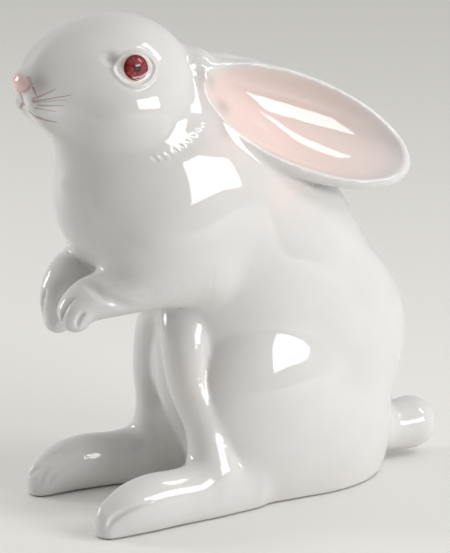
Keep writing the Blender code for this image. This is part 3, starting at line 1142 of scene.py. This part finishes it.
        # Places in millimetres from the figure's own origin, folded onto the left side.
        where = add(tree, "ShaderNodeTexCoord").outputs["Object"]
        scaled = add(tree, vectors, {0: where, "Scale": 1 / MM}, operation="SCALE").outputs[0]
        moved = add(tree, vectors, {0: scaled, 1: (0.0, MIDDLE_Y, 0.0)}, operation="ADD").outputs[0]
        parts = add(tree, "ShaderNodeSeparateXYZ", {0: moved}).outputs
        side = add(tree, maths, {0: parts["X"]}, operation="ABSOLUTE").outputs[0]
        sides = {0: side, 1: parts["Y"], 2: parts["Z"]}
        folded = add(tree, "ShaderNodeCombineXYZ", sides).outputs[0]

        # The glaze pools a little unevenly, and below it lie the airbrushed pink washes and the
        # painted shade.
        pools = {"Vector": moved, "Scale": 1 / self.pooling, "Detail": 2.0}
        pooling = add(tree, "ShaderNodeTexNoise", pools)
        layers: list[Layer] = [(pooling.outputs[0], linear(self.white_thick))]
        washes = add(tree, "ShaderNodeAttribute", attribute_name=Painter.WASHES)
        wash = add(tree, "ShaderNodeSeparateColor", {0: washes.outputs["Color"]}).outputs
        # the third wash is painted shade, in grey
        paints = (self.ear_pink, self.blush_pink, self.painted_shade)
        layers += [(mask, linear(paint)) for mask, paint in zip(wash, paints)]

        # The pink patch on the nose, and a dark line painted along the lowest part of the base.
        from_nose = add(tree, vectors, {0: folded, 1: self.nose_centre}, operation="SUBTRACT")
        offset = {0: from_nose.outputs[0], 1: self.nose_radii}
        shaped = add(tree, vectors, offset, operation="DIVIDE")
        reach = add(tree, vectors, {0: shaped.outputs[0]}, operation="LENGTH").outputs["Value"]
        base_span = (self.base_line_height, self.base_line_full * self.base_line_height)
        masks = []
        for value, (start, full) in ((reach, self.NOSE), (parts["Z"], base_span)):
            edge = {0: value, 1: start, 2: full}
            node = add(tree, "ShaderNodeMapRange", edge, interpolation_type="SMOOTHSTEP")
            masks.append(node.outputs[0])
        nose, clay = masks

        layers.append((nose, linear(self.nose_pink)))
        group = self.stroke_group()
        for marks in (self.WHISKERS, self.MOUTH):
            layers.append((self.strokes(tree, group, folded, marks), linear(self.line_brown)))
        layers += self.eye_layers(tree, eye, folded)
        # the base's lowest part is painted darker
        layers.append((clay, linear(self.base_line_dark)))
        colour = linear(self.white)
        for mask, paint in layers:
            paints = {0: mask, 6: colour, 7: paint}
            colour = add(tree, "ShaderNodeMix", paints, data_type="RGBA").outputs[2]

        # A dipped glaze ripples faintly.
        waves = {"Vector": moved, "Scale": 1 / self.ripple, "Detail": 1.0}
        ripple = add(tree, "ShaderNodeTexNoise", waves).outputs[0]
        relief = {"Distance": self.ripple_depth * MM, "Strength": self.ripple_strength}
        bump = add(tree, "ShaderNodeBump", {"Height": ripple} | relief)
        shader = tree.nodes["Principled BSDF"]
        tree.links.new(colour, shader.inputs["Base Color"])
        tree.links.new(bump.outputs[0], shader.inputs["Normal"])
        shader.inputs["Roughness"].default_value = self.roughness
        shader.inputs["IOR"].default_value = self.ior
        shader.inputs["Metallic"].default_value = 0.0
        return material


class Rabbit:
    """The rabbit as one cast piece."""

    def __init__(self) -> None:
        self.figure = Figure()
        self.finish = GlazedPorcelain()

    def build(self) -> bpy.types.Object:
        """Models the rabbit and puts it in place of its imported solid."""
        mesh = Modeller(self.figure).build()
        piece = bpy.data.objects.new("rabbit_figure", mesh)
        bpy.context.scene.collection.objects.link(piece)
        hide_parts("rabbit")
        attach(piece, "root")
        return piece

    def dress(self, piece: bpy.types.Object) -> None:
        """Glazes and paints the rabbit."""
        piece.data.materials.clear()
        piece.data.materials.append(self.finish.material(self.figure.eye))


class Side(Enum):
    """Sides of the studio that a lamp stands on, as degrees round the rabbit from its front."""

    RIGHT_BEHIND = 119.0
    HIGH_BEHIND = 148.0
    FAR_FRONT = -48.0


@dataclass(frozen=True)
class Softbox:
    """A rectangular lamp that faces the rabbit."""

    name: str
    side: Side
    rise: float
    distance: float
    width: float
    height: float
    watts: float

    def build(self, aim: Vector) -> None:
        """Hangs the lamp.

        Args:
            aim: The place it faces, in metres.
        """
        data = bpy.data.lights.new(self.name, "AREA")
        data.shape = "RECTANGLE"
        data.size = self.width
        data.size_y = self.height
        data.energy = self.watts
        lamp = bpy.data.objects.new(self.name, data)
        turn, lift = math.radians(self.side.value), math.radians(self.rise)
        level = Vector((math.sin(turn), -math.cos(turn), 0.0))
        out = level * math.cos(lift) + Vector((0.0, 0.0, math.sin(lift)))
        lamp.location = aim + out * self.distance
        lamp.rotation_mode = "QUATERNION"
        lamp.rotation_quaternion = out.to_track_quat("Z", "Y")
        bpy.context.scene.collection.objects.link(lamp)


@dataclass(frozen=True)
class BlackCard:
    """A matt black card that stands on the table and shows dark in the glaze of the breast."""

    place: Point = (0.36, -0.37, 0.0)
    turn: float = 45.0
    width: float = 0.42
    height: float = 0.24
    black: str = "#1C1B1A"
    roughness: float = 0.9

    def build(self) -> None:
        """Stands the card up, out of the camera's sight."""
        turn = math.radians(self.turn)
        half = Vector((math.cos(turn), math.sin(turn), 0.0)) * self.width / 2
        foot, rise = Vector(self.place), Vector((0.0, 0.0, self.height))
        mesh = bpy.data.meshes.new("black_card")
        corners = [foot - half, foot + half, foot + half + rise, foot - half + rise]
        mesh.from_pydata(corners, [], [(0, 1, 2, 3)])
        card = bpy.data.objects.new("black_card", mesh)
        bpy.context.scene.collection.objects.link(card)
        material = bpy.data.materials.new("black card")
        material.use_nodes = True
        shader = material.node_tree.nodes["Principled BSDF"]
        shader.inputs["Base Color"].default_value = linear(self.black)
        shader.inputs["Roughness"].default_value = self.roughness
        mesh.materials.append(material)
        card.visible_camera = False
        card.visible_shadow = False


@dataclass(frozen=True)
class Studio:
    """A plain pale table in a white room, with softboxes, a black card and the camera."""

    aim: Point = (0.0372, -0.0287, 0.1223)
    camera_place: Point = (1.0598, -0.6311, 0.4182)
    focal_mm: float = 162.75
    sensor_mm: float = 36.0
    floor_reach: float = 9.0
    floor_colour: str = "#F1F0EC"
    floor_roughness: float = 0.7
    room_colour: str = "#F2F2EF"
    room_strength: float = 0.69
    unlit_side: Point = (0.82, -0.57, -0.08)
    unlit_strength: float = 0.05
    dims_from: float = 0.4  # cosines of the angle off the unlit side
    dims_to: float = 0.93
    nearest: float = 0.05
    farthest: float = 60.0
    softboxes: tuple[Softbox, ...] = (  # sides, degrees of rise, metres and watts
        Softbox("key softbox", Side.RIGHT_BEHIND, 13.0, 1.5, 0.84, 0.42, 10.5),
        Softbox("top softbox", Side.HIGH_BEHIND, 38.0, 1.6, 0.30, 0.66, 4.5),
        Softbox("rim softbox", Side.FAR_FRONT, 14.0, 1.6, 0.50, 0.60, 8.5),
    )

    def build_table(self) -> None:
        """Lays the matt table top that everything stands on."""
        reach = self.floor_reach
        mesh = bpy.data.meshes.new("table_top")
        corners = [(-reach, -reach, 0), (reach, -reach, 0), (reach, reach, 0), (-reach, reach, 0)]
        mesh.from_pydata(corners, [], [(0, 1, 2, 3)])
        table = bpy.data.objects.new("table_top", mesh)
        bpy.context.scene.collection.objects.link(table)
        material = bpy.data.materials.new("painted board")
        material.use_nodes = True
        shader = material.node_tree.nodes["Principled BSDF"]
        shader.inputs["Base Color"].default_value = linear(self.floor_colour)
        shader.inputs["Roughness"].default_value = self.floor_roughness
        mesh.materials.append(material)

    def build_room(self) -> None:
        """Fills the room with light, less on the side where the camera stands."""
        world = bpy.data.worlds.new("white room")
        world.use_nodes = True
        tree = world.node_tree
        ground = tree.nodes["Background"]
        ground.inputs["Color"].default_value = linear(self.room_colour)
        toward = add(tree, "ShaderNodeTexCoord").outputs["Generated"]
        unlit = Vector(self.unlit_side).normalized()
        facing = add(tree, "ShaderNodeVectorMath", {0: toward, 1: unlit}, operation="DOT_PRODUCT")
        dims = {0: facing.outputs["Value"], 1: self.dims_from, 2: self.dims_to}
        dims |= {3: self.room_strength, 4: self.unlit_strength}
        strength = add(tree, "ShaderNodeMapRange", dims, interpolation_type="SMOOTHSTEP")
        tree.links.new(strength.outputs[0], ground.inputs["Strength"])
        bpy.context.scene.world = world

    def build_camera(self) -> None:
        """Stands the camera where it sees the rabbit's left side from slightly above."""
        data = bpy.data.cameras.new("camera")
        data.sensor_width = self.sensor_mm
        data.lens = self.focal_mm
        data.clip_start = self.nearest
        data.clip_end = self.farthest
        camera = bpy.data.objects.new("camera", data)
        camera.location = Vector(self.camera_place)
        camera.rotation_mode = "QUATERNION"
        look = Vector(self.aim) - Vector(self.camera_place)
        camera.rotation_quaternion = look.to_track_quat("-Z", "Y")
        bpy.context.scene.collection.objects.link(camera)
        bpy.context.scene.camera = camera

    def build(self) -> None:
        """Sets up the table, the light and the camera."""
        self.build_table()
        self.build_room()
        BlackCard().build()
        for softbox in self.softboxes:
            softbox.build(Vector(self.aim))
        self.build_camera()
        bpy.context.scene.view_settings.view_transform = "Standard"


def main() -> None:
    """Builds the rabbit and its studio."""
    logging.basicConfig(level=logging.INFO, format="%(name)s: %(message)s")
    rabbit = Rabbit()
    piece = rabbit.build()
    rabbit.dress(piece)
    LOG.info("%s: %d faces", piece.name, len(piece.data.polygons))
    studio = Studio()
    studio.build()
    LOG.info("studio: table, black card, %d softboxes and camera", len(studio.softboxes))


if __name__ == "__main__":
    main()
